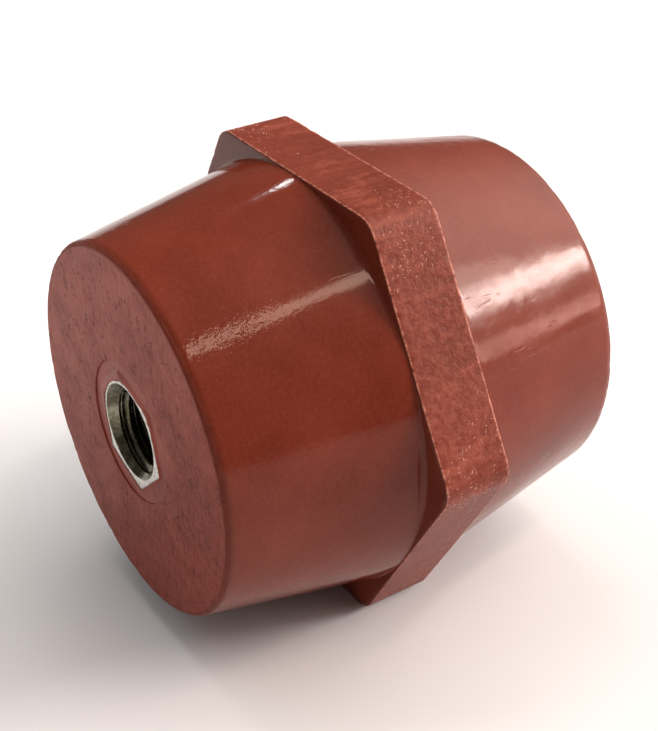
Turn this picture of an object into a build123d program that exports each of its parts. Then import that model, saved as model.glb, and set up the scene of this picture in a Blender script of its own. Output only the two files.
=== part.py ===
"""Busbar standoff insulator: a moulded resin body with a tapped steel insert in each end.

The body is two cones joined at a hexagonal flange. Each insert is a length of hexagon bar that the
resin is moulded round, so it can neither turn nor pull out. The part lies on one flat of the flange,
with its axis along Y and its front end at -Y.
"""

from math import cos, radians, tan
import os

from build123d import *

# Body. Lengths are in millimetres and angles in degrees.
BODY_LENGTH = 50.0  # from one end face to the other
HEX_ACROSS_FLATS = 50.0
FLANGE_THICKNESS = 8.0
FLANGE_CORNER_RADIUS = 3.0
FLANGE_LEDGE = 0.2  # flat left round the foot of each cone at the middle of a flange side
CONE_TAPER = 3.8  # how much smaller the radius is at the end face than at the foot
END_RIM_RADIUS = 0.5

# Shallow round recess that the mould's pin leaves round each insert
RECESS_DEPTH = 0.2
RECESS_MARGIN = 1.3  # from the insert's corners to the edge of the recess

# Metric coarse thread. Its hole is left plain, at the tap drill's diameter.
THREAD_DIAMETER = 10.0
THREAD_PITCH = 1.5
DRILL_DEPTH = 14.5  # from the end face to where the drill point starts
DRILL_POINT_ANGLE = 118.0
COUNTERSINK_MARGIN = 0.5  # from the thread's outside diameter to the edge of the mouth
COUNTERSINK_ANGLE = 90.0

# Inserts
INSERT_WALL = 1.0  # from the thread's outside diameter to the bar's flats
INSERT_FLOOR = 1.6  # metal left beyond the drill point
INSERT_END_CHAMFER = 0.6
GROOVE_DEPTH = 1.3  # below the bar's flats
GROOVE_SETBACK = 0.6  # from the end of the full drilling to the groove
GROOVE_COLLAR = 1.5  # hexagon left between the groove and the buried end
FRONT_INSERT_TURN = 16.6  # how each bar happens to lie against the flange's hexagon
REAR_INSERT_TURN = -8.0

# Sizes that follow from those above
CONE_LENGTH = (BODY_LENGTH - FLANGE_THICKNESS) / 2
CONE_FOOT_RADIUS = HEX_ACROSS_FLATS / 2 - FLANGE_LEDGE
END_FACE_RADIUS = CONE_FOOT_RADIUS - CONE_TAPER
TAP_DRILL_DIAMETER = THREAD_DIAMETER - THREAD_PITCH
DRILL_POINT_LENGTH = TAP_DRILL_DIAMETER / 2 / tan(radians(DRILL_POINT_ANGLE / 2))
COUNTERSINK_DIAMETER = THREAD_DIAMETER + 2 * COUNTERSINK_MARGIN
COUNTERSINK_SLOPE = tan(radians(COUNTERSINK_ANGLE / 2))
COUNTERSINK_DEPTH = (COUNTERSINK_DIAMETER - TAP_DRILL_DIAMETER) / 2 / COUNTERSINK_SLOPE
INSERT_ACROSS_FLATS = THREAD_DIAMETER + 2 * INSERT_WALL
INSERT_ACROSS_CORNERS = INSERT_ACROSS_FLATS / cos(radians(30))
INSERT_LENGTH = DRILL_DEPTH + DRILL_POINT_LENGTH + INSERT_FLOOR
GROOVE_START = DRILL_DEPTH + GROOVE_SETBACK
GROOVE_WIDTH = INSERT_LENGTH - GROOVE_COLLAR - GROOVE_START
GROOVE_DIAMETER = INSERT_ACROSS_FLATS - 2 * GROOVE_DEPTH
RECESS_DIAMETER = INSERT_ACROSS_CORNERS + 2 * RECESS_MARGIN

CUT_PAST = 1.0  # how far a cut runs out past the face that it starts from
FROM_BASE = (Align.CENTER, Align.CENTER, Align.MIN)

# Pieces are made along Z, with the front end face at Z = 0, and then laid on a flat of the flange.
AT_FRONT = Rot(0, 0, FRONT_INSERT_TURN)
AT_REAR = Pos(0, 0, BODY_LENGTH) * Rot(180, 0, 0) * Rot(0, 0, REAR_INSERT_TURN)
LAID_DOWN = Pos(0, -BODY_LENGTH / 2, HEX_ACROSS_FLATS / 2) * Rot(-90, 0, 0)


def hexagon(across_flats):
    """Hexagon on the XY plane with two of its flats facing along Y."""
    return RegularPolygon(across_flats / 2, 6, major_radius=False)


def insert_blank():
    """Outside of an insert: sawn hexagon bar with a turned groove and a chamfer at its buried end."""
    blank = extrude(hexagon(INSERT_ACROSS_FLATS), INSERT_LENGTH)
    end_radius = INSERT_ACROSS_CORNERS / 2 - INSERT_END_CHAMFER
    blank &= Cone(end_radius + INSERT_LENGTH, end_radius, INSERT_LENGTH, align=FROM_BASE)
    groove = Cylinder(INSERT_ACROSS_CORNERS, GROOVE_WIDTH, align=FROM_BASE)
    groove -= Cylinder(GROOVE_DIAMETER / 2, GROOVE_WIDTH, align=FROM_BASE)
    return blank - Pos(0, 0, GROOVE_START) * groove


def threaded_insert():
    """Steel insert with its mouth at Z = 0: drilled blind for the thread, and countersunk."""
    drill_radius = TAP_DRILL_DIAMETER / 2
    mouth_radius = COUNTERSINK_DIAMETER / 2 + CUT_PAST * COUNTERSINK_SLOPE
    countersink = Cone(mouth_radius, drill_radius, COUNTERSINK_DEPTH + CUT_PAST, align=FROM_BASE)
    drill_point = Cone(drill_radius, 0, DRILL_POINT_LENGTH, align=FROM_BASE)
    piece = insert_blank() - Cylinder(drill_radius, DRILL_DEPTH, align=FROM_BASE)
    return piece - Pos(0, 0, DRILL_DEPTH) * drill_point - Pos(0, 0, -CUT_PAST) * countersink


def insulating_body():
    """Moulded body: two cones on a hexagonal flange, hollowed where the inserts are moulded in."""
    cone = Cone(CONE_FOOT_RADIUS, END_FACE_RADIUS, CONE_LENGTH, align=FROM_BASE)
    rim = cone.edges().sort_by(Axis.Z)[-1]
    cone = fillet(rim, END_RIM_RADIUS)
    cone -= Pos(0, 0, CONE_LENGTH - RECESS_DEPTH) * Cylinder(RECESS_DIAMETER / 2, CUT_PAST, align=FROM_BASE)
    outline = fillet(hexagon(HEX_ACROSS_FLATS).vertices(), FLANGE_CORNER_RADIUS)
    body = Pos(0, 0, CONE_LENGTH) * extrude(outline, FLANGE_THICKNESS)
    body += Pos(0, 0, CONE_LENGTH + FLANGE_THICKNESS) * cone
    body += Pos(0, 0, CONE_LENGTH) * Rot(180, 0, 0) * cone
    return body - AT_FRONT * insert_blank() - AT_REAR * insert_blank()


insert = threaded_insert()
parts = {
    "insulating_body": insulating_body(),
    "front_threaded_insert": AT_FRONT * insert,
    "rear_threaded_insert": AT_REAR * insert,
}

os.makedirs("parts", exist_ok=True)
for node, piece in parts.items():
    export_step(LAID_DOWN * piece, f"parts/{node}.step")
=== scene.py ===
from math import cos, pi, radians, sin, tan

import bpy
from mathutils import Matrix, Vector


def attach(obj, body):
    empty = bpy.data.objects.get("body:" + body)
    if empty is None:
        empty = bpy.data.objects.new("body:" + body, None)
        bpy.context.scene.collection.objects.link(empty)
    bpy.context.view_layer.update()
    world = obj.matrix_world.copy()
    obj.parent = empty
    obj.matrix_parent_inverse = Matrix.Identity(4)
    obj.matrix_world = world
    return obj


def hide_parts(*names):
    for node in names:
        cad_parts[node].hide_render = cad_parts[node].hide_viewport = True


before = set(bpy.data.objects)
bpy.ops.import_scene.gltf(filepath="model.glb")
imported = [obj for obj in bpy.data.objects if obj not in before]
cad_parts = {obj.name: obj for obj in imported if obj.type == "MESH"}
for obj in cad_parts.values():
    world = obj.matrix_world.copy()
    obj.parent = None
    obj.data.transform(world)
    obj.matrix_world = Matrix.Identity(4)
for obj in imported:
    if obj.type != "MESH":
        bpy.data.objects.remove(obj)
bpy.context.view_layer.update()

MM = 0.001

# --- Camera -------------------------------------------------------------------------------------
# A lens of 68 mm, 160 mm off, above the front right of the insulator as it lies on its collar.
# It is turned about its own axis by half a degree.
CAMERA_AZIMUTH = radians(56.85)
CAMERA_ELEVATION = radians(32.07)
CAMERA_ROLL = radians(0.53)
CAMERA_DISTANCE = 159.8 * MM
LENS_MM = 68.25
aim = Vector((0.435, 0.373, 24.75)) * MM


def direction(azimuth, elevation):
    """Unit vector to a place round the object: azimuth 0 is at -Y, in front, and 90 degrees is at +X."""
    return Vector((sin(azimuth) * cos(elevation), -cos(azimuth) * cos(elevation), sin(elevation)))


def facing_back(towards):
    """Rotation of a camera or lamp that stands in this direction and looks back at the object."""
    return (-towards).to_track_quat("-Z", "Y").to_matrix().to_4x4()


lens = bpy.data.cameras.new("camera")
lens.lens = LENS_MM
lens.clip_start = 10 * MM
camera = bpy.data.objects.new("camera", lens)
bpy.context.scene.collection.objects.link(camera)
camera_side = direction(CAMERA_AZIMUTH, CAMERA_ELEVATION)
camera.matrix_world = (
    Matrix.Translation(aim + CAMERA_DISTANCE * camera_side)
    @ facing_back(camera_side)
    @ Matrix.Rotation(-CAMERA_ROLL, 4, "Z")
)
bpy.context.scene.camera = camera

# --- Floor and lights ---------------------------------------------------------------------------
# A pale sheet of paper in a dim room. A window behind on the right shows as three panes, a lamp
# hangs overhead and a thin one stands behind on the left. The fill and the ceiling aren't mirrored.
PAPER = (0.74, 0.79, 0.84, 1)
ROOM_COLOUR = (1.0, 0.89, 0.79, 1)
WALL_COLOUR = (0.88, 0.87, 0.86, 1)
ROOM_LIGHT = 0.12
REAR_GLOW = 4.7
GLOW_FALL = 6.0
glow_side = Vector((0.16, 0.78, 0.6)).normalized()
lit_spot = Vector((0, 0, 25 * MM))

bpy.context.scene.view_settings.view_transform = "Standard"

bpy.ops.mesh.primitive_plane_add(size=3.0)
floor = bpy.context.object
floor.name = "floor"
paper = bpy.data.materials.new("pale_paper")
paper.use_nodes = True
paper_shader = paper.node_tree.nodes["Principled BSDF"]
paper_shader.inputs["Base Color"].default_value = PAPER
paper_shader.inputs["Roughness"].default_value = 0.9
floor.data.materials.append(paper)

room = bpy.data.worlds.new("room")
room.use_nodes = True
room_nodes = room.node_tree.nodes
outlook = room_nodes.new("ShaderNodeTexCoord").outputs["Generated"]
nearness = room_nodes.new("ShaderNodeVectorMath")
nearness.operation = "DOT_PRODUCT"
nearness.inputs[1].default_value = glow_side
room.node_tree.links.new(outlook, nearness.inputs[0])
light_here = nearness.outputs["Value"]
glow_steps = (("MAXIMUM", 0.0), ("POWER", GLOW_FALL), ("MULTIPLY", REAR_GLOW), ("ADD", ROOM_LIGHT))
for operation, amount in glow_steps:
    step = room_nodes.new("ShaderNodeMath")
    step.operation = operation
    step.inputs[1].default_value = amount
    room.node_tree.links.new(light_here, step.inputs[0])
    light_here = step.outputs[0]
room.node_tree.links.new(light_here, room_nodes["Background"].inputs["Strength"])
room_nodes["Background"].inputs["Color"].default_value = ROOM_COLOUR
pale_wall = room_nodes.new("ShaderNodeBackground")
pale_wall.inputs["Color"].default_value = WALL_COLOUR
seen_wall = room_nodes.new("ShaderNodeMixShader")
seen_by_camera = room_nodes.new("ShaderNodeLightPath").outputs["Is Camera Ray"]
room.node_tree.links.new(seen_by_camera, seen_wall.inputs[0])
room.node_tree.links.new(room_nodes["Background"].outputs[0], seen_wall.inputs[1])
room.node_tree.links.new(pale_wall.outputs[0], seen_wall.inputs[2])
room.node_tree.links.new(seen_wall.outputs[0], room_nodes["World Output"].inputs["Surface"])
bpy.context.scene.world = room


def soft_lamp(name, azimuth, elevation, distance, size, power, colour=(1, 1, 1), mirrored=True):
    """Rectangular lamp, of this width and height, that faces the object. Gloss can mirror it or not."""
    lamp = bpy.data.lights.new(name, "AREA")
    lamp.shape = "RECTANGLE"
    lamp.size, lamp.size_y = size
    lamp.energy = power
    lamp.color = colour
    light = bpy.data.objects.new(name, lamp)
    bpy.context.scene.collection.objects.link(light)
    light.visible_glossy = mirrored
    towards = direction(radians(azimuth), radians(elevation))
    light.matrix_world = Matrix.Translation(lit_spot + distance * towards) @ facing_back(towards)


soft_lamp("overhead_lamp", 105, 67, 0.6, (0.30, 0.055), 0.62, (1.0, 0.70, 0.54))
soft_lamp("window", 152, 23, 0.8, (0.24, 0.11), 3.3, (1.0, 0.80, 0.74))
soft_lamp("upper_window", 151, 32, 0.8, (0.26, 0.11), 0.62, (1.0, 0.78, 0.70))
soft_lamp("low_window", 145, 6, 0.8, (0.26, 0.08), 0.72, (1.0, 0.58, 0.50))
soft_lamp("thin_lamp", 249, 41, 0.8, (0.010, 0.025), 0.055)
soft_lamp("left_fill", 300, 35, 0.8, (0.7, 0.7), 2.0, (1.0, 0.95, 0.92), mirrored=False)
soft_lamp("ceiling", 262, 66, 0.9, (0.5, 0.4), 2.3, (1.0, 0.93, 0.88), mirrored=False)

# --- Threaded inserts ---------------------------------------------------------------------------
# Each is sawn from zinc-plated steel hexagon bar, turned with a groove that keys it in the resin,
# drilled blind, countersunk and tapped M10. The resin is moulded round it, so nothing else holds it.
AXIS_HEIGHT = 25 * MM
END_FACE = 25 * MM
INSERT_LENGTH = 18.654 * MM
INSERT_HALF_FLATS = 6 * MM
BAR_CORNER = 0.25 * MM
GROOVE_START = 15.1 * MM
GROOVE_END = 17.154 * MM
GROOVE_RADIUS = 4.7 * MM
BORE_RADIUS = 4.25 * MM
THREAD_RADIUS = 5 * MM
THREAD_PITCH = 1.5 * MM
THREAD_ROOT = 0.0625  # half the root's width, in pitches
THREAD_CREST = 0.375  # from the middle of the root to the crest, in pitches
THREAD_RUN_OUT = (12.2 * MM, 13.2 * MM)
DRILL_DEPTH = 14.5 * MM
DRILL_POINT = 2.554 * MM
MOUTH_RADIUS = 5.5 * MM
MOUTH_SETBACK = 0.08 * MM
END_CHAMFER_RADIUS = 6.328 * MM
DRILL_POINT_RINGS = 8
RINGS_PER_PITCH = 16
INSERT_STEPS = 144
FRONT_TURN = radians(-16.6)
REAR_TURN = radians(8)
STEEL = (0.66, 0.65, 0.61, 1)
BRIGHT_STEEL = (0.86, 0.86, 0.84, 1)
DULL_STEEL = (0.36, 0.345, 0.27, 1)
# The oiled steel of the hole is darker than oil alone makes it, as painted shade.
OILED_AND_SHADED_STEEL = (0.15, 0.135, 0.085, 1)
# The deepest colour of the hole is painted shade only.
BORE_SHADE_STEEL = (0.05, 0.043, 0.03, 1)


def feed(tree, socket, value):
    """Join an output to a socket, or set a constant on it."""
    if isinstance(value, bpy.types.NodeSocket):
        tree.links.new(value, socket)
    else:
        socket.default_value = value


def place(tree, kind, inputs=None, **settings):
    """Add a node with its settings, and feed its inputs, which are named or numbered."""
    node = tree.nodes.new(kind)
    for name, value in settings.items():
        setattr(node, name, value)
    for key, value in (inputs or {}).items():
        feed(tree, node.inputs[key], value)
    return node


def maths(tree, operation, *values):
    """Output of a maths node."""
    return place(tree, "ShaderNodeMath", dict(enumerate(values)), operation=operation).outputs[0]


def span(tree, value, start, end, low=0.0, high=1.0, smooth=False):
    """Value carried from one range to another, and held inside it."""
    kind = "SMOOTHSTEP" if smooth else "LINEAR"
    limits = {0: value, 1: start, 2: end, 3: low, 4: high}
    return place(tree, "ShaderNodeMapRange", limits, interpolation_type=kind).outputs[0]


def blend(tree, share, first, second):
    """Number that goes from the first to the second as the share goes from 0 to 1."""
    return place(tree, "ShaderNodeMix", {0: share, 2: first, 3: second}, data_type="FLOAT").outputs[0]


def geometry_tree(name, sizes):
    """Geometry tree with a geometry and named sizes as inputs: numbers, whole numbers or materials."""
    tree = bpy.data.node_groups.new(name, "GeometryNodeTree")
    face = tree.interface
    face.new_socket("Geometry", in_out="INPUT", socket_type="NodeSocketGeometry")
    face.new_socket("Geometry", in_out="OUTPUT", socket_type="NodeSocketGeometry")
    for label, value in sizes.items():
        if isinstance(value, bpy.types.Material):
            kind = "NodeSocketMaterial"
        else:
            kind = "NodeSocketInt" if isinstance(value, int) else "NodeSocketFloat"
        face.new_socket(label, in_out="INPUT", socket_type=kind).default_value = value
    return tree, tree.nodes.new("NodeGroupInput").outputs, tree.nodes.new("NodeGroupOutput")


def made_plain(piece, tree, sizes, target_name):
    """Run a geometry tree on a piece, and return the result as a plain mesh object at the origin."""
    modifier = piece.modifiers.new("shape", "NODES")
    modifier.node_group = tree
    labels = {item.name: item.identifier for item in tree.interface.items_tree if item.in_out == "INPUT"}
    for label, value in sizes.items():
        modifier[labels[label]] = value
    evaluated = piece.evaluated_get(bpy.context.evaluated_depsgraph_get())
    mesh = bpy.data.meshes.new_from_object(evaluated)
    mesh.name = target_name
    result = bpy.data.objects.new(target_name, mesh)
    bpy.context.scene.collection.objects.link(result)
    piece.modifiers.remove(modifier)
    bpy.data.objects.remove(piece)
    return result


def section_line(name, stations):
    """Line of stations to sweep round the axis: each has its radius, its place along, and its marks."""
    mesh = bpy.data.meshes.new(name)
    points = [(radius, along, 0) for radius, along, marks in stations]
    mesh.from_pydata(points, [(i, i + 1) for i in range(len(points) - 1)], [])
    for mark in sorted({mark for station in stations for mark in station[2]}):
        layer = mesh.attributes.new(mark, "FLOAT", "POINT")
        for i, station in enumerate(stations):
            layer.data[i].value = station[2].get(mark, 0.0)
    line = bpy.data.objects.new(name, mesh)
    bpy.context.scene.collection.objects.link(line)
    return line


def stretch(start, end, spacing):
    """Places from one end of a stretch to the other, near enough this far apart."""
    count = max(1, round(abs(end - start) / spacing))
    return [start + (end - start) * i / count for i in range(count + 1)]


def hexagon_reach_group():
    """Node group that gives how far out a rounded hexagon reaches at an angle round its middle."""
    tree = bpy.data.node_groups.new("hexagon_reach", "GeometryNodeTree")
    for label in ("Angle", "Half Flats", "Corner Radius", "Corner Angle"):
        tree.interface.new_socket(label, in_out="INPUT", socket_type="NodeSocketFloat")
    tree.interface.new_socket("Reach", in_out="OUTPUT", socket_type="NodeSocketFloat")
    given = tree.nodes.new("NodeGroupInput").outputs
    half, corner = given["Half Flats"], given["Corner Radius"]
    wide = radians(30)
    turned = maths(tree, "SUBTRACT", given["Angle"], given["Corner Angle"])
    off_corner = maths(tree, "ABSOLUTE", maths(tree, "WRAP", turned, wide, -wide))
    off_flat = maths(tree, "SUBTRACT", wide, off_corner)
    flat = maths(tree, "DIVIDE", half, maths(tree, "COSINE", off_flat))
    inner = maths(tree, "SUBTRACT", half, corner)
    centre = maths(tree, "DIVIDE", inner, cos(wide))
    aside = maths(tree, "MULTIPLY", centre, maths(tree, "SINE", off_corner))
    square = maths(tree, "MULTIPLY", aside, aside)
    square = maths(tree, "SUBTRACT", maths(tree, "MULTIPLY", corner, corner), square)
    out = maths(tree, "SQRT", maths(tree, "MAXIMUM", square, 0.0))
    rounded = maths(tree, "ADD", maths(tree, "MULTIPLY", centre, maths(tree, "COSINE", off_corner)), out)
    join = maths(tree, "MULTIPLY", maths(tree, "DIVIDE", inner, half), tan(wide))
    join = maths(tree, "ARCTANGENT", join)
    on_flat = maths(tree, "LESS_THAN", off_flat, join)
    reach = blend(tree, on_flat, rounded, flat)
    feed(tree, tree.nodes.new("NodeGroupOutput").inputs["Reach"], reach)
    return tree


HEXAGON_REACH = hexagon_reach_group()


def reach_of_hexagon(tree, angle, half_flats, corner_radius, corner_angle):
    """Output of the hexagon group."""
    sizes = {0: angle, 1: half_flats, 2: corner_radius, 3: corner_angle}
    return place(tree, "GeometryNodeGroup", sizes, node_tree=HEXAGON_REACH).outputs[0]


def sweep(tree, line, steps, marks):
    """Grid with a row for each station of the line and steps round the axis, still lying flat.

    Returns the grid, the angle round the axis, and the station's radius, place along and marks as fields.
    """
    size = place(tree, "GeometryNodeAttributeDomainSize", {0: line}, component="MESH")
    columns = maths(tree, "ADD", steps, 1)
    counts = {"Vertices X": size.outputs["Point Count"], "Vertices Y": columns}
    grid = place(tree, "GeometryNodeMeshGrid", counts).outputs["Mesh"]
    index = place(tree, "GeometryNodeInputIndex").outputs[0]
    station = maths(tree, "FLOOR", maths(tree, "DIVIDE", maths(tree, "ADD", index, 0.5), columns))
    step = maths(tree, "SUBTRACT", index, maths(tree, "MULTIPLY", station, columns))
    angle = maths(tree, "MULTIPLY", maths(tree, "DIVIDE", step, steps), 2 * pi)
    spot = place(tree, "GeometryNodeInputPosition").outputs[0]
    inputs = {0: line, 1: spot, 2: station}
    found = place(tree, "GeometryNodeSampleIndex", inputs, data_type="FLOAT_VECTOR")
    parts = place(tree, "ShaderNodeSeparateXYZ", {0: found.outputs[0]}).outputs
    fields = {"radius": parts[0], "along": parts[1]}
    for mark in marks:
        named = place(tree, "GeometryNodeInputNamedAttribute", {0: mark}, data_type="FLOAT").outputs[0]
        inputs = {0: line, 1: named, 2: station}
        fields[mark] = place(tree, "GeometryNodeSampleIndex", inputs, data_type="FLOAT").outputs[0]
    return grid, angle, fields


def keep_mark(tree, geometry, name, value):
    """Geometry with a field kept on its points under a name."""
    inputs = {"Geometry": geometry, "Name": name, "Value": value}
    return place(tree, "GeometryNodeStoreNamedAttribute", inputs, data_type="FLOAT").outputs[0]


def rolled_up(tree, grid, radius, angle, along, height):
    """Grid bent round the axis at a height, with its seam and its poles closed."""
    across = maths(tree, "MULTIPLY", radius, maths(tree, "COSINE", angle))
    up = maths(tree, "ADD", maths(tree, "MULTIPLY", radius, maths(tree, "SINE", angle)), height)
    spot = place(tree, "ShaderNodeCombineXYZ", {0: across, 1: along, 2: up}).outputs[0]
    bent = place(tree, "GeometryNodeSetPosition", {"Geometry": grid, "Position": spot}).outputs[0]
    inputs = {"Geometry": bent, "Distance": 0.001 * MM}
    return place(tree, "GeometryNodeMergeByDistance", inputs).outputs[0]


def noise(tree, scale, detail=2.0, roughness=0.5, vector=None):
    """Noise from 0 to 1, at so many waves to the metre."""
    inputs = {"Scale": scale, "Detail": detail, "Roughness": roughness}
    if vector is not None:
        inputs["Vector"] = vector
    return place(tree, "ShaderNodeTexNoise", inputs).outputs[0]


def ring(tree, angle):
    """Point on a circle of radius 1, so that noise on it meets itself after a turn."""
    inputs = {0: maths(tree, "COSINE", angle), 1: maths(tree, "SINE", angle)}
    return place(tree, "ShaderNodeCombineXYZ", inputs).outputs[0]


def stretched(tree, vector, scales):
    """Vector multiplied by a scale on each axis."""
    return place(tree, "ShaderNodeVectorMath", {0: vector, 1: scales}, operation="MULTIPLY").outputs[0]


def finished(tree, geometry, material, output):
    """End of a tree: smooth shading, instances made real, and the material set."""
    smooth = place(tree, "GeometryNodeSetShadeSmooth", {0: geometry}).outputs[0]
    real = place(tree, "GeometryNodeRealizeInstances", {0: smooth}).outputs[0]
    painted = place(tree, "GeometryNodeSetMaterial", {"Geometry": real, "Material": material}).outputs[0]
    feed(tree, output.inputs[0], painted)


def shader_start(name):
    """New material, with its tree, its surface shader and its Object coordinates."""
    material = bpy.data.materials.new(name)
    material.use_nodes = True
    tree = material.node_tree
    spot = tree.nodes.new("ShaderNodeTexCoord").outputs["Object"]
    return material, tree, tree.nodes["Principled BSDF"], spot


def tint(tree, share, first, second, kind="MIX"):
    """Colour that goes from the first to the second as the share goes from 0 to 1."""
    inputs = {0: share, 6: first, 7: second}
    return place(tree, "ShaderNodeMix", inputs, data_type="RGBA", blend_type=kind).outputs[2]


def bumped(tree, height, distance, normal=None, strength=1.0):
    """Normal bent by a height field that is this deep."""
    inputs = {"Height": height, "Distance": distance, "Strength": strength}
    if normal is not None:
        inputs["Normal"] = normal
    return place(tree, "ShaderNodeBump", inputs).outputs[0]


def mark_on(tree, name):
    """Value that a mesh keeps under a name."""
    return place(tree, "ShaderNodeAttribute", attribute_name=name).outputs["Fac"]


def plated_steel():
    """Zinc-plated steel: bright and burred on the sawn end, dull with oil down the tapped hole and
    painted darker there as shade.
    """
    material, tree, shader, spot = shader_start("plated_steel")
    bore = mark_on(tree, "bore")
    blotch = noise(tree, 900, 3, 0.6, spot)
    scratch = noise(tree, 1.0, 2, 0.6, stretched(tree, spot, (1500, 5000, 9000)))
    uneven = maths(tree, "MULTIPLY", maths(tree, "SUBTRACT", blotch, 0.5), 0.6)
    oil_and_shade = span(tree, maths(tree, "ADD", bore, uneven), 0.25, 0.8)
    plain = tint(tree, span(tree, scratch, 0.35, 0.7), STEEL, BRIGHT_STEEL)
    plain = tint(tree, span(tree, noise(tree, 2600, 3, 0.7, spot), 0.5, 0.66, 0, 0.8), plain, DULL_STEEL)
    # The hole's colour: oil-dulled steel, made darker as painted shade.
    oil_and_shade_colour = tint(tree, span(tree, noise(tree, 620, 3, 0.65, spot), 0.42, 0.62), OILED_AND_SHADED_STEEL, DULL_STEEL)
    # Painted shade: the hole goes darker towards its bottom, by the depth mark.
    metal = tint(tree, mark_on(tree, "depth"), tint(tree, oil_and_shade, plain, oil_and_shade_colour), BORE_SHADE_STEEL)
    feed(tree, shader.inputs["Base Color"], metal)
    shader.inputs["Metallic"].default_value = 1.0
    sawn = span(tree, blotch, 0.3, 0.7, 0.28, 0.5)
    tapped = span(tree, blotch, 0.3, 0.7, 0.16, 0.36)
    feed(tree, shader.inputs["Roughness"], blend(tree, bore, sawn, tapped))
    relief = maths(tree, "ADD", maths(tree, "MULTIPLY", scratch, 0.6), blotch)
    feed(tree, shader.inputs["Normal"], bumped(tree, relief, 0.03 * MM))
    return material


PLATED_STEEL = plated_steel()

COUNTERSINK_END = MOUTH_SETBACK + MOUTH_RADIUS - BORE_RADIUS
# The depth mark is painted shade in the tapped hole: a quarter at the countersink, full 5 mm further in
# and at the drill point.
MOUTH_PAINTED_SHADE = 0.25
PAINTED_SHADE_REACH = 5 * MM
insert_stations = [
    (
        BORE_RADIUS * i / DRILL_POINT_RINGS,
        DRILL_DEPTH + DRILL_POINT * (1 - i / DRILL_POINT_RINGS),
        {"bore": 1, "depth": 1},
    )
    for i in range(DRILL_POINT_RINGS)
]
for along in stretch(DRILL_DEPTH, COUNTERSINK_END, THREAD_PITCH / RINGS_PER_PITCH):
    painted_shade = min(1, MOUTH_PAINTED_SHADE + (along - COUNTERSINK_END) / PAINTED_SHADE_REACH)
    insert_stations.append((BORE_RADIUS, along, {"bore": 1, "thread": 1, "depth": painted_shade}))
insert_stations += [
    (MOUTH_RADIUS + MOUTH_SETBACK - along, along, {"bore": 1, "thread": 1, "depth": MOUTH_PAINTED_SHADE})
    for along in stretch(COUNTERSINK_END, MOUTH_SETBACK + 0.06 * MM, 0.09 * MM)[1:]
]
insert_stations += [
    (MOUTH_RADIUS, MOUTH_SETBACK + 0.02 * MM, {"bore": 0.6}),
    (MOUTH_RADIUS + 0.05 * MM, MOUTH_SETBACK, {}),
    (MOUTH_RADIUS + 0.05 * MM, MOUTH_SETBACK, {"hexagon": 0.3, "burr": 0.3}),
    (MOUTH_RADIUS + 0.05 * MM, MOUTH_SETBACK, {"hexagon": 0.6, "burr": 0.6}),
    (MOUTH_RADIUS, MOUTH_SETBACK, {"hexagon": 0.97, "burr": 1}),
    (MOUTH_RADIUS, MOUTH_SETBACK + 0.04 * MM, {"hexagon": 1, "burr": 1}),
    (MOUTH_RADIUS, MOUTH_SETBACK + 0.12 * MM, {"hexagon": 1, "burr": 0.6}),
]
for start, end, spacing, radius, marks in (
    (MOUTH_SETBACK + 0.25 * MM, GROOVE_START, 1.2 * MM, MOUTH_RADIUS, {"hexagon": 1}),
    (GROOVE_START, GROOVE_END, 0.7 * MM, GROOVE_RADIUS, {}),
    (GROOVE_END, INSERT_LENGTH, 0.15 * MM, MOUTH_RADIUS, {"hexagon": 1}),
):
    insert_stations += [(radius, along, marks) for along in stretch(start, end, spacing)]
insert_stations += [(MOUTH_RADIUS * share, INSERT_LENGTH, {}) for share in (0.9, 0.45, 0.0)]


def insert_tree():
    """Section of the insert swept round its axis, hexagonal outside and with a thread inside."""
    sizes = {
        "Steps Round": INSERT_STEPS,
        "Corner Angle": 0.0,
        "Half Flats": INSERT_HALF_FLATS,
        "Bore Radius": BORE_RADIUS,
        "Thread Radius": THREAD_RADIUS,
        "Pitch": THREAD_PITCH,
        "Run Out Start": THREAD_RUN_OUT[0],
        "Run Out End": THREAD_RUN_OUT[1],
        "End Radius": END_CHAMFER_RADIUS,
        "Length": INSERT_LENGTH,
        "Burr": 0.16 * MM,
        "Finish": PLATED_STEEL,
    }
    tree, given, output = geometry_tree("threaded_insert", sizes)
    marks = ("bore", "depth", "thread", "hexagon", "burr")
    grid, angle, at = sweep(tree, given["Geometry"], given["Steps Round"], marks)
    turns = maths(tree, "DIVIDE", at["along"], given["Pitch"])
    turns = maths(tree, "ADD", turns, maths(tree, "DIVIDE", angle, 2 * pi))
    off_groove = maths(tree, "ABSOLUTE", maths(tree, "SUBTRACT", maths(tree, "FRACT", turns), 0.5))
    groove = span(tree, off_groove, THREAD_ROOT, THREAD_CREST, 1, 0)
    fade = span(tree, at["along"], given["Run Out Start"], given["Run Out End"], 1, 0)
    depth = maths(tree, "SUBTRACT", given["Thread Radius"], given["Bore Radius"])
    cut = maths(tree, "MULTIPLY", maths(tree, "MULTIPLY", groove, fade), depth)
    threaded = maths(tree, "MAXIMUM", at["radius"], maths(tree, "ADD", given["Bore Radius"], cut))
    inside = blend(tree, at["thread"], at["radius"], threaded)
    hexagon = reach_of_hexagon(tree, angle, given["Half Flats"], BAR_CORNER, given["Corner Angle"])
    cone = maths(tree, "ADD", given["End Radius"], maths(tree, "SUBTRACT", given["Length"], at["along"]))
    outside = maths(tree, "MINIMUM", hexagon, cone)
    radius = blend(tree, at["hexagon"], inside, outside)
    burr = span(tree, noise(tree, 4.0, 4, 0.7, ring(tree, angle)), 0.42, 0.72, -0.3, 1)
    grown = maths(tree, "MULTIPLY", maths(tree, "MULTIPLY", burr, at["burr"]), given["Burr"])
    grid = keep_mark(tree, keep_mark(tree, grid, "bore", at["bore"]), "depth", at["depth"])
    shape = rolled_up(tree, grid, maths(tree, "ADD", radius, grown), angle, at["along"], 0.0)
    finished(tree, shape, given["Finish"], output)
    return tree


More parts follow.
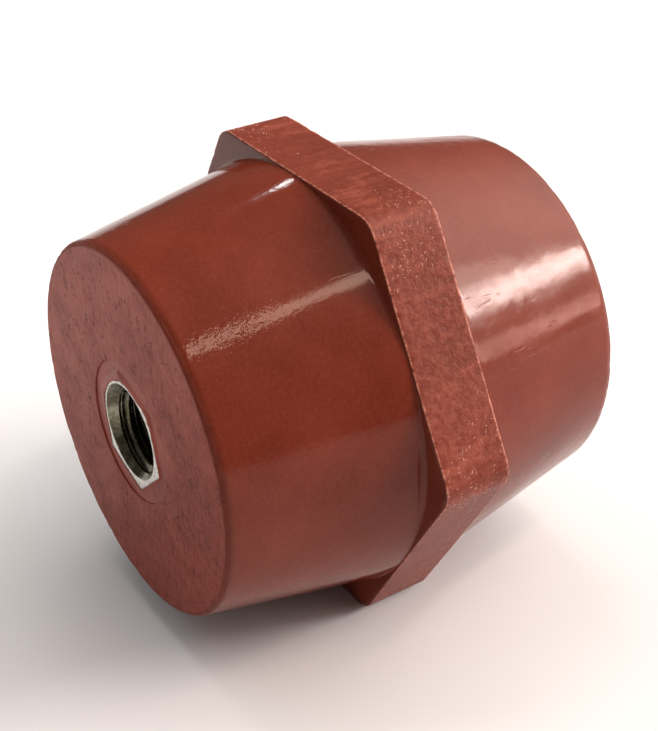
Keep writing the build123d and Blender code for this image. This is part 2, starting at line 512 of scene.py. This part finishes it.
INSERT_TREE = insert_tree()
for insert_name, corner_angle, about_axis, end in (
    ("front_threaded_insert", FRONT_TURN, 0, -END_FACE),
    ("rear_threaded_insert", REAR_TURN, pi, END_FACE),
):
    line = section_line("insert_section", insert_stations)
    insert = made_plain(line, INSERT_TREE, {"Corner Angle": corner_angle}, "visual_" + insert_name)
    insert.data.transform(Matrix.Translation((0, end, AXIS_HEIGHT)) @ Matrix.Rotation(about_axis, 4, "Z"))
    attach(insert, "root")
    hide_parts(insert_name)

# --- Insulating body ----------------------------------------------------------------------------
# One moulding of red glass-fibre-filled polyester: two cones on a hexagonal collar for the spanner.
# It is pressed hot round the two inserts, so their sockets fit them exactly and need no fixing.
END_RADIUS = 21 * MM
CONE_FOOT = 24.8 * MM
COLLAR_FACE = 4 * MM
COLLAR_HALF_FLATS = 25 * MM
COLLAR_CORNER = 3 * MM
RIM_RADIUS = 0.5 * MM
RIM_STEPS = 5
LEDGE_INSET = 0.12 * MM
RECESS_RADIUS = 8.05 * MM
RECESS_DEPTH = 0.2 * MM
CREEP_SIDE = radians(35)
BODY_STEPS = 330
RESIN = (0.185, 0.0345, 0.019, 1)
# Dark resin tone, also used as painted shade at the edges.
DEEP_RESIN_AND_SHADE = (0.128, 0.0205, 0.0098, 1)
DRY_RESIN = (0.26, 0.036, 0.016, 1)
# Lighter tone for bloom on the end faces, also used as painted sheen.
BLOOM_AND_PAINTED_SHEEN = (0.44, 0.106, 0.076, 1)
RUBBED_RESIN = (0.29, 0.072, 0.045, 1)
# Light flecks in the skin, and a painted highlight on the collar's edges.
FLASH_AND_HIGHLIGHT = (0.55, 0.22, 0.16, 1)
GLASS_FIBRE = (0.66, 0.36, 0.29, 1)
PIT_SHADE = (0.06, 0.008, 0.004, 1)


def wandering(tree, vector, scales, sway):
    """Stretched vector that wanders, so that a pattern on it doesn't run straight."""
    inputs = {"Vector": vector, "Scale": 500.0, "Detail": 2.0}
    drift = place(tree, "ShaderNodeTexNoise", inputs).outputs["Color"]
    drift = place(tree, "ShaderNodeVectorMath", {0: drift, "Scale": sway}, operation="SCALE").outputs[0]
    return place(tree, "ShaderNodeVectorMath", {0: stretched(tree, vector, scales), 1: drift}).outputs[0]


def moulded_resin():
    """Glossy moulded skin on the cones, a dry fibrous one on the ends, and a rubbed one on the collar."""
    material, tree, shader, spot = shader_start("moulded_resin")
    end, rim, edge = mark_on(tree, "end"), mark_on(tree, "rim"), mark_on(tree, "edge")
    place_of = place(tree, "ShaderNodeSeparateXYZ", {0: spot}).outputs
    along = place_of["Y"]
    # Painted sheen: a bias that grows towards the upper left, which makes the end faces lighter there.
    painted_sheen_upper_left = maths(tree, "MULTIPLY", maths(tree, "SUBTRACT", place_of["Z"], place_of["X"]), 9.0)

    cloud = noise(tree, 90, 3, 0.55, spot)
    grain = noise(tree, 2400, 2, 0.6, spot)
    flow = noise(tree, 1.0, 4, 0.7, wandering(tree, spot, (1900, 900, 900), 2.2))
    patches = noise(tree, 200, 4, 0.6, spot)
    crack = noise(tree, 1.0, 2, 0.6, wandering(tree, spot, (1000, 600, 650), 1.5))
    crack = span(tree, maths(tree, "ABSOLUTE", maths(tree, "SUBTRACT", crack, 0.5)), 0.0, 0.03, 1, 0)
    crack = maths(tree, "MULTIPLY", crack, span(tree, noise(tree, 700, 2, 0.5, spot), 0.52, 0.64))
    pits = span(tree, noise(tree, 2300, 1, 0.5, spot), 0.68, 0.75)
    pits = maths(tree, "MAXIMUM", maths(tree, "MULTIPLY", pits, span(tree, cloud, 0.45, 0.6)), crack)
    wiped = noise(tree, 1.0, 3, 0.6, wandering(tree, spot, (1100, 130, 1100), 0.9))
    mottle = noise(tree, 1300, 4, 0.7, spot)

    skin = tint(tree, span(tree, cloud, 0.3, 0.7), DEEP_RESIN_AND_SHADE, RESIN)
    skin = tint(tree, maths(tree, "MULTIPLY", span(tree, grain, 0.45, 0.8), 0.05), skin, FLASH_AND_HIGHLIGHT)
    dry = tint(tree, span(tree, flow, 0.2, 0.55), DEEP_RESIN_AND_SHADE, DRY_RESIN)
    # The end faces take lighter patches of bloom, and more of it towards the upper left as painted sheen.
    bloom_and_sheen = span(tree, maths(tree, "ADD", patches, painted_sheen_upper_left), 0.60, 1.0, 0, 0.7)
    dry = tint(tree, bloom_and_sheen, dry, BLOOM_AND_PAINTED_SHEEN)
    dry = tint(tree, maths(tree, "MULTIPLY", span(tree, cloud, 0.5, 0.65), 0.2), dry, DEEP_RESIN_AND_SHADE)
    dry = tint(tree, maths(tree, "MULTIPLY", pits, 0.35), dry, PIT_SHADE)
    rubbed = span(tree, patches, 0.45, 0.6, 0.15, 0.75)
    rubbed = maths(tree, "MULTIPLY", span(tree, wiped, 0.45, 0.65), rubbed)
    side = tint(tree, rubbed, skin, RUBBED_RESIN)
    coarse = span(tree, place_of["X"], 2 * MM, 15 * MM, 0.25, 1)
    lighter = maths(tree, "MULTIPLY", span(tree, mottle, 0.45, 0.65, 0, 0.5), coarse)
    side = tint(tree, lighter, side, RUBBED_RESIN)
    darker = maths(tree, "MULTIPLY", span(tree, mottle, 0.45, 0.32, 0, 0.45), coarse)
    side = tint(tree, darker, side, DEEP_RESIN_AND_SHADE)
    face = maths(tree, "MAXIMUM", end, mark_on(tree, "recess"))
    colour = tint(tree, rim, tint(tree, face, skin, dry), side)
    shaded_lip = maths(tree, "MULTIPLY", edge, maths(tree, "SUBTRACT", 1.0, rim))
    # Painted shade: the end faces' rim, the recess's edge and the collar's ledge are darkened.
    colour = tint(tree, maths(tree, "MULTIPLY", shaded_lip, 0.7), colour, DEEP_RESIN_AND_SHADE)
    # The collar's edges are painted lighter: partly moulding flash, partly a painted highlight.
    flash_and_highlight = maths(tree, "MULTIPLY", maths(tree, "MULTIPLY", edge, rim), span(tree, mottle, 0.4, 0.6))
    colour = tint(tree, flash_and_highlight, colour, FLASH_AND_HIGHLIGHT)
    colour = tint(tree, mark_on(tree, "fibre"), colour, GLASS_FIBRE)
    feed(tree, shader.inputs["Base Color"], colour)

    scuff = noise(tree, 1.0, 4, 0.65, wandering(tree, spot, (420, 90, 420), 0.6))
    dulled = span(tree, along, -6 * MM, 8 * MM, 0.04, 0.15)
    gloss = maths(tree, "MULTIPLY", span(tree, scuff, 0.42, 0.68), dulled)
    gloss = maths(tree, "ADD", gloss, span(tree, along, -6 * MM, 8 * MM, 0.07, 0.11))
    scratch = noise(tree, 1.0, 1, 0.5, wandering(tree, spot, (1300, 45, 1300), 0.5))
    scratch = maths(tree, "MULTIPLY", span(tree, scratch, 0.68, 0.76), mark_on(tree, "wall"))
    scratch = maths(tree, "MULTIPLY", scratch, span(tree, along, -4 * MM, 10 * MM, 0.15, 0.8))
    rough = blend(tree, end, gloss, span(tree, flow, 0.3, 0.7, 0.55, 0.42))
    rough = blend(tree, rim, rough, span(tree, mottle, 0.3, 0.7, 0.3, 0.5))
    rough = blend(tree, mark_on(tree, "recess"), blend(tree, shaded_lip, rough, 0.6), 0.42)
    feed(tree, shader.inputs["Roughness"], rough)
    shader.inputs["Specular IOR Level"].default_value = 0.2

    worn_rear = span(tree, along, 8 * MM, 24 * MM, 0, 0.3)
    worn = maths(tree, "MAXIMUM", span(tree, along, -6 * MM, -18 * MM), worn_rear)
    worn = maths(tree, "MULTIPLY", worn, span(tree, patches, 0.35, 0.6, 0.3, 1.0))
    crinkle = maths(tree, "ABSOLUTE", maths(tree, "SUBTRACT", noise(tree, 1000, 3, 0.55, spot), 0.5))
    crinkle = maths(tree, "MULTIPLY", maths(tree, "MULTIPLY", crinkle, worn), mark_on(tree, "wall"))
    scored = maths(tree, "SUBTRACT", crinkle, maths(tree, "MULTIPLY", scratch, 0.3))
    normal = bumped(tree, scored, 0.055 * MM)
    waves = maths(tree, "ADD", noise(tree, 170, 2, 0.5, spot), maths(tree, "MULTIPLY", mottle, 0.04))
    waves = maths(tree, "MULTIPLY", waves, span(tree, along, -2 * MM, 8 * MM))
    waves = maths(tree, "MULTIPLY", waves, mark_on(tree, "wall"))
    normal = bumped(tree, waves, 0.09 * MM, normal)
    fibrous = maths(tree, "MULTIPLY", maths(tree, "SUBTRACT", flow, pits), end)
    normal = bumped(tree, fibrous, 0.15 * MM, normal)
    rubs = maths(tree, "MULTIPLY", maths(tree, "ADD", mottle, maths(tree, "MULTIPLY", wiped, 0.4)), rim)
    normal = bumped(tree, rubs, 0.09 * MM, normal)
    normal = bumped(tree, grain, 0.004 * MM, normal)
    feed(tree, shader.inputs["Normal"], normal)
    return material


MOULDED_RESIN = moulded_resin()


def half_stations():
    """Stations from the bottom of a socket, over its end face, and along the cone to mid-collar."""
    foot = END_FACE - COLLAR_FACE
    socket = {"socket": 1}
    stations = [(radius, INSERT_LENGTH, {}) for radius in (0, 3 * MM, END_CHAMFER_RADIUS * 0.9)]
    stations += [(0, along, socket) for along in stretch(INSERT_LENGTH, GROOVE_END, 0.15 * MM)]
    stations += [(GROOVE_RADIUS, GROOVE_END, {}), (GROOVE_RADIUS, GROOVE_START, {})]
    stations += [(0, along, socket) for along in stretch(GROOVE_START, RECESS_DEPTH, 1.5 * MM)]
    stations += [
        (0, 0.14 * MM, socket),
        (0, 0.14 * MM, {"socket": 1, "creep": 1}),
        (0, 0.05 * MM, {"socket": 1, "creep": 1}),
        (0, 0.03 * MM, {"socket": 1, "creep": 0.7, "recess": 1}),
        (RECESS_RADIUS, 0.06 * MM, {"socket": 0.94, "recess": 1}),
    ]
    stations += [
        (RECESS_RADIUS, RECESS_DEPTH, {"socket": share, "recess": 1})
        for share in (1 - 1 / 5, 1 - 2 / 5, 1 - 3 / 5, 1 - 4 / 5)
    ]
    stations += [
        (RECESS_RADIUS - 0.06 * MM, RECESS_DEPTH, {"recess": 1}),
        (RECESS_RADIUS, RECESS_DEPTH - 0.04 * MM, {"recess": 1}),
        (RECESS_RADIUS, 0.05 * MM, {"edge": 0.5, "end": 1}),
    ]
    face = stretch(RECESS_RADIUS + 0.05 * MM, END_RADIUS - 0.62 * MM, 0.42 * MM)
    stations += [(radius, 0, {"end": 1}) for radius in face]
    slope = (CONE_FOOT - END_RADIUS) / foot
    for i in range(1, RIM_STEPS + 1):
        angle = radians(80) * i / RIM_STEPS
        stations.append((
            END_RADIUS - RIM_RADIUS * (1.0 - sin(angle)),
            RIM_RADIUS * (1 - cos(angle)),
            {"end": 1 - i / RIM_STEPS, "edge": 1},
        ))
    wall = stretch(RIM_RADIUS + 0.1 * MM, foot - 0.15 * MM, 0.45 * MM)
    stations += [(END_RADIUS + slope * along, along, {"wall": 1}) for along in wall]
    stations += [
        (CONE_FOOT, foot, {"collar": share, "inset": LEDGE_INSET})
        for share in (0.04, 0.2, 0.4, 0.6, 0.8, 0.95)
    ]
    stations += [
        (0, foot, {"collar": 1, "inset": LEDGE_INSET, "edge": 1}),
        (0, foot + 0.05 * MM, {"collar": 1, "inset": 0.03 * MM, "edge": 1, "rim": 1}),
        (0, foot + 0.15 * MM, {"collar": 1, "edge": 0.9, "rim": 1}),
    ]
    rim = stretch(foot + 0.32 * MM, END_FACE, 0.45 * MM)
    stations += [(0, along, {"collar": 1, "rim": 1}) for along in rim]
    return stations


front_half = [(radius, along - END_FACE, marks) for radius, along, marks in half_stations()]
rear_half = [(radius, -along, marks) for radius, along, marks in reversed(front_half[:-1])]
BODY_MARKS = ("collar", "creep", "socket", "inset", "end", "edge", "rim", "wall", "recess")


def body_tree():
    """Section of the body swept round its axis, with a hexagonal collar and sockets, and its skin."""
    sizes = {
        "Steps Round": BODY_STEPS,
        "Axis Height": AXIS_HEIGHT,
        "Collar Half Flats": COLLAR_HALF_FLATS,
        "Collar Corner": COLLAR_CORNER,
        "Socket Half Flats": INSERT_HALF_FLATS,
        "Bared Radius": 5.75 * MM,
        "Front Socket Angle": FRONT_TURN,
        "Rear Socket Angle": pi - REAR_TURN,
        "Peel Depth": 0.03 * MM,
        "Streak Depth": 0.05 * MM,
        "Chip Depth": 0.15 * MM,
        "Fibre Length": 0.42 * MM,
        "Fibre Radius": 0.03 * MM,
        "Fibres per Square Metre": 3.6e6,
        "Seed": 11,
        "Finish": MOULDED_RESIN,
    }
    tree, given, output = geometry_tree("insulating_body", sizes)
    grid, angle, at = sweep(tree, given["Geometry"], given["Steps Round"], BODY_MARKS)
    collar = reach_of_hexagon(tree, angle, given["Collar Half Flats"], given["Collar Corner"], 0.0)
    radius = blend(tree, at["collar"], at["radius"], maths(tree, "SUBTRACT", collar, at["inset"]))
    rear = maths(tree, "GREATER_THAN", at["along"], 0.0)
    socket_angle = blend(tree, rear, given["Front Socket Angle"], given["Rear Socket Angle"])
    socket = reach_of_hexagon(tree, angle, given["Socket Half Flats"], BAR_CORNER, socket_angle)
    creep = maths(tree, "MULTIPLY", maths(tree, "SINE", maths(tree, "SUBTRACT", angle, CREEP_SIDE)), 0.24)
    creep = span(tree, maths(tree, "ADD", noise(tree, 2.2, 4, 0.6, ring(tree, angle)), creep), 0.38, 0.66)
    bared = blend(tree, creep, socket, given["Bared Radius"])
    socket = blend(tree, at["creep"], socket, maths(tree, "MINIMUM", bared, socket))
    radius = blend(tree, at["socket"], radius, socket)
    for mark in ("end", "edge", "rim", "wall", "recess"):
        grid = keep_mark(tree, grid, mark, at[mark])
    shape = rolled_up(tree, grid, radius, angle, at["along"], given["Axis Height"])

    def kept(mark):
        """Mark kept on the points of the rolled-up body."""
        return place(tree, "GeometryNodeInputNamedAttribute", {0: mark}, data_type="FLOAT").outputs[0]

    spot = place(tree, "GeometryNodeInputPosition").outputs[0]
    peel = maths(tree, "MULTIPLY", noise(tree, 330, 2, 0.5, spot), given["Peel Depth"])
    streaks = noise(tree, 1.0, 3, 0.6, stretched(tree, spot, (900, 400, 260)))
    streaks = maths(tree, "MULTIPLY", streaks, given["Streak Depth"])
    streaks = maths(tree, "MULTIPLY", streaks, kept("end"))
    chips = span(tree, noise(tree, 700, 3, 0.6, spot), 0.5, 0.8)
    chips = maths(tree, "MULTIPLY", maths(tree, "MULTIPLY", chips, given["Chip Depth"]), kept("edge"))
    sunk = maths(tree, "ADD", maths(tree, "ADD", peel, streaks), chips)
    outside = maths(tree, "MAXIMUM", maths(tree, "MAXIMUM", kept("end"), kept("edge")), kept("rim"))
    outside = maths(tree, "MAXIMUM", outside, kept("wall"))
    sunk = maths(tree, "MULTIPLY", maths(tree, "MULTIPLY", sunk, outside), -1.0)
    normal = place(tree, "GeometryNodeInputNormal").outputs[0]
    inputs = {0: normal, "Scale": sunk}
    inwards = place(tree, "ShaderNodeVectorMath", inputs, operation="SCALE").outputs[0]
    skinned = place(tree, "GeometryNodeSetPosition", {"Geometry": shape, "Offset": inwards}).outputs[0]

    parts = place(tree, "ShaderNodeSeparateXYZ", {0: spot}).outputs
    rise = maths(tree, "SUBTRACT", parts["Z"], given["Axis Height"])
    squares = maths(tree, "MULTIPLY", rise, rise)
    squares = maths(tree, "ADD", maths(tree, "MULTIPLY", parts["X"], parts["X"]), squares)
    near_corner = span(tree, maths(tree, "SQRT", squares), 25.6 * MM, 27.6 * MM, 0, 0.2)
    bald = span(tree, maths(tree, "ADD", noise(tree, 160, 2, 0.5, spot), near_corner), 0.6, 0.8)
    showing = maths(tree, "MULTIPLY", kept("rim"), bald)
    showing = maths(tree, "MULTIPLY", showing, given["Fibres per Square Metre"])
    inputs = {"Mesh": skinned, "Density": showing, "Seed": given["Seed"]}
    scattered = place(tree, "GeometryNodeDistributePointsOnFaces", inputs).outputs
    inputs = {"Vertices": 5, "Radius": given["Fibre Radius"], "Depth": given["Fibre Length"]}
    fibre = place(tree, "GeometryNodeMeshCylinder", inputs).outputs["Mesh"]
    inputs = {"Geometry": fibre, "Rotation": (pi / 2, 0, 0)}
    lying = place(tree, "GeometryNodeTransform", inputs).outputs[0]
    lying = keep_mark(tree, lying, "fibre", 1.0)
    inputs = {2: 0.35, 3: 1.0, "Seed": given["Seed"]}
    sizes_seen = place(tree, "FunctionNodeRandomValue", inputs).outputs[1]
    inputs = {
        "Points": scattered["Points"],
        "Instance": lying,
        "Rotation": scattered["Rotation"],
        "Scale": sizes_seen,
    }
    fibres = place(tree, "GeometryNodeInstanceOnPoints", inputs).outputs[0]
    turn = place(tree, "FunctionNodeRandomValue", {2: 0.0, 3: pi, "Seed": given["Seed"]}).outputs[1]
    spin = place(tree, "ShaderNodeCombineXYZ", {2: turn}).outputs[0]
    inputs = {"Instances": fibres, "Rotation": spin}
    fibres = place(tree, "GeometryNodeRotateInstances", inputs).outputs[0]
    both = place(tree, "GeometryNodeJoinGeometry", {0: skinned}).inputs[0]
    feed(tree, both, fibres)
    finished(tree, both.node.outputs[0], given["Finish"], output)
    return tree


line = section_line("body_section", front_half + rear_half)
body = made_plain(line, body_tree(), {}, "visual_insulating_body")
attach(body, "root")
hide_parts("insulating_body")
